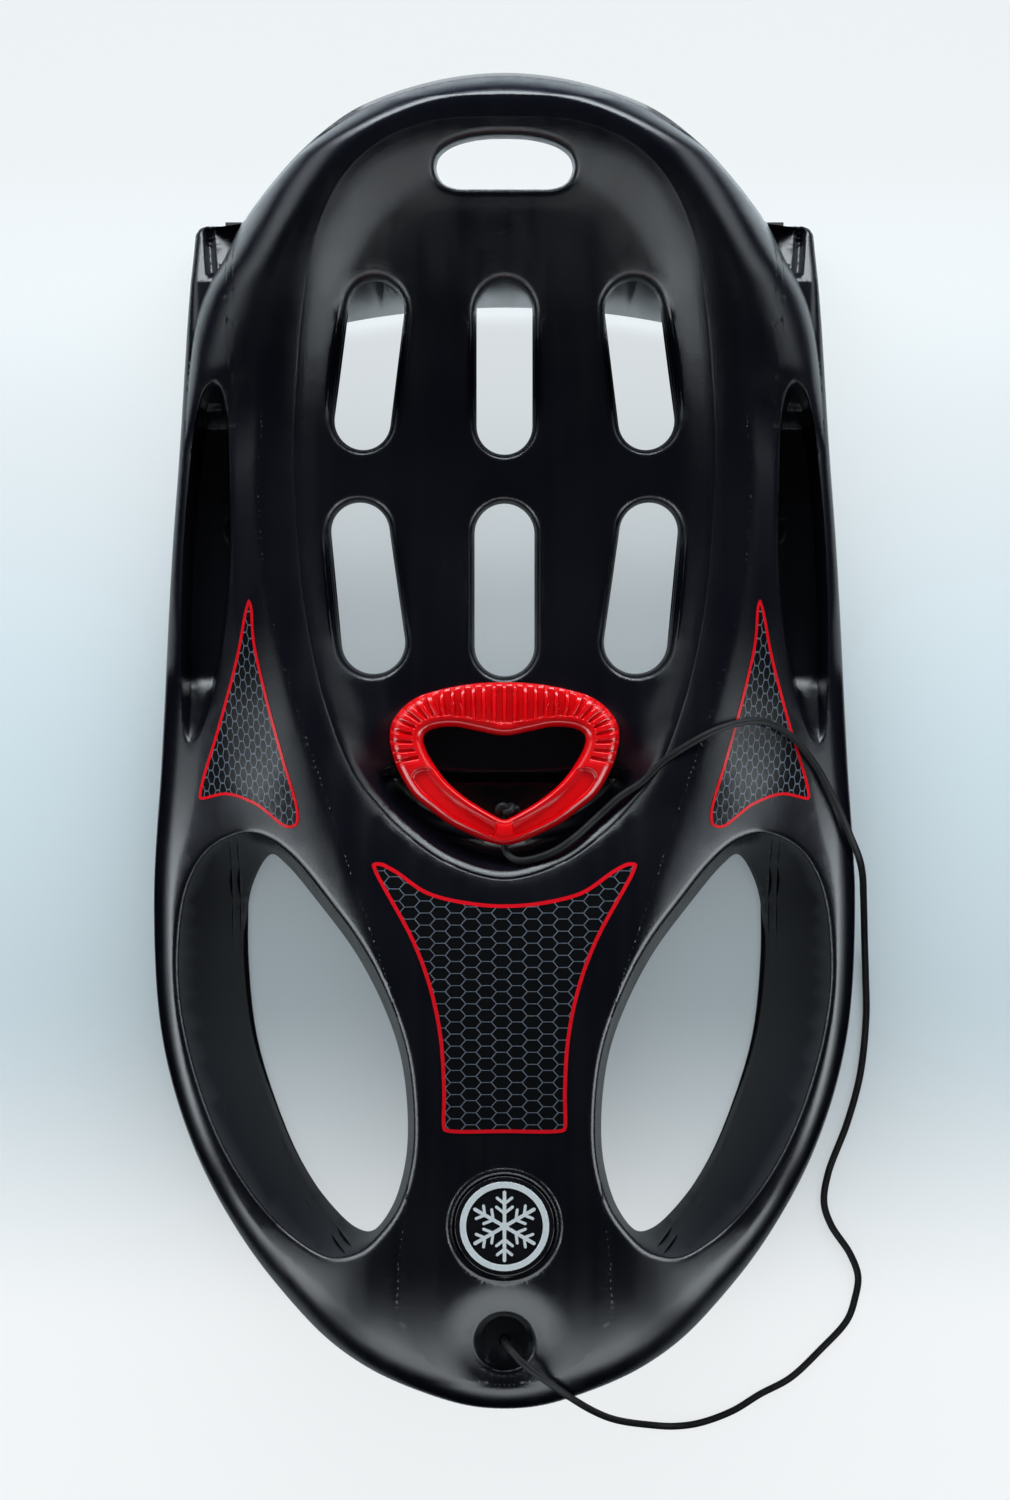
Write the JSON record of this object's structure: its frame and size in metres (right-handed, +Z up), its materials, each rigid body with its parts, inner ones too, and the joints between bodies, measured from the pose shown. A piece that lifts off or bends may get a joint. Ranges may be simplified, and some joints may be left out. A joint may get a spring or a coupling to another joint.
{
  "type": "snow bob",
  "caption": "Steerless snow bob: one-piece moulded hull with slotted bucket seat, backrest, foot openings, red pull handle on a tow cord and steel runner strips.",
  "frame": {"origin": "on the floor under the middle of the bob, midway between its sides", "axes": "+Z up, +Y towards the backrest, the nose towards -Y, +X to the left of a rider who looks towards the nose"},
  "size_m": [0.4956, 0.9175, 0.2062],
  "materials": {
    "hull_plastic": "black polyethylene with a fine moulded grain",
    "printed_film": "printed in-mould film with a mesh pattern and a red border",
    "badge_plastic": "gloss black disc",
    "badge_print": "silver-white print",
    "handle_plastic": "red moulded plastic with ribs on the grip",
    "cord_braid": "braided cord",
    "runner_steel": "black coated strip steel",
    "rivet_zinc": "zinc-plated rivet"
  },
  "bodies": {
    "hull": {"hull": "hull_plastic", "front_decal": "printed_film", "left_side_decal": "printed_film", "right_side_decal": "printed_film", "badge_disc": "badge_plastic", "badge_emblem": "badge_print", "tow_cord": "cord_braid", "nose_knot": "cord_braid", "left_runner_rail": "runner_steel", "right_runner_rail": "runner_steel", "left_rail_rivet_1": "rivet_zinc", "left_rail_rivet_2": "rivet_zinc", "left_rail_rivet_3": "rivet_zinc", "left_rail_rivet_4": "rivet_zinc", "right_rail_rivet_1": "rivet_zinc", "right_rail_rivet_2": "rivet_zinc", "right_rail_rivet_3": "rivet_zinc", "right_rail_rivet_4": "rivet_zinc"},
    "handle": {"pull_handle": "handle_plastic", "handle_knot": "cord_braid"}
  },
  "joints": [
    {"name": "handle_lift", "type": "slide", "parent": "hull", "child": "handle", "axis": [0, 0, 1], "range_m": [0, 0.15], "deforming": ["tow_cord"]}
  ]
}
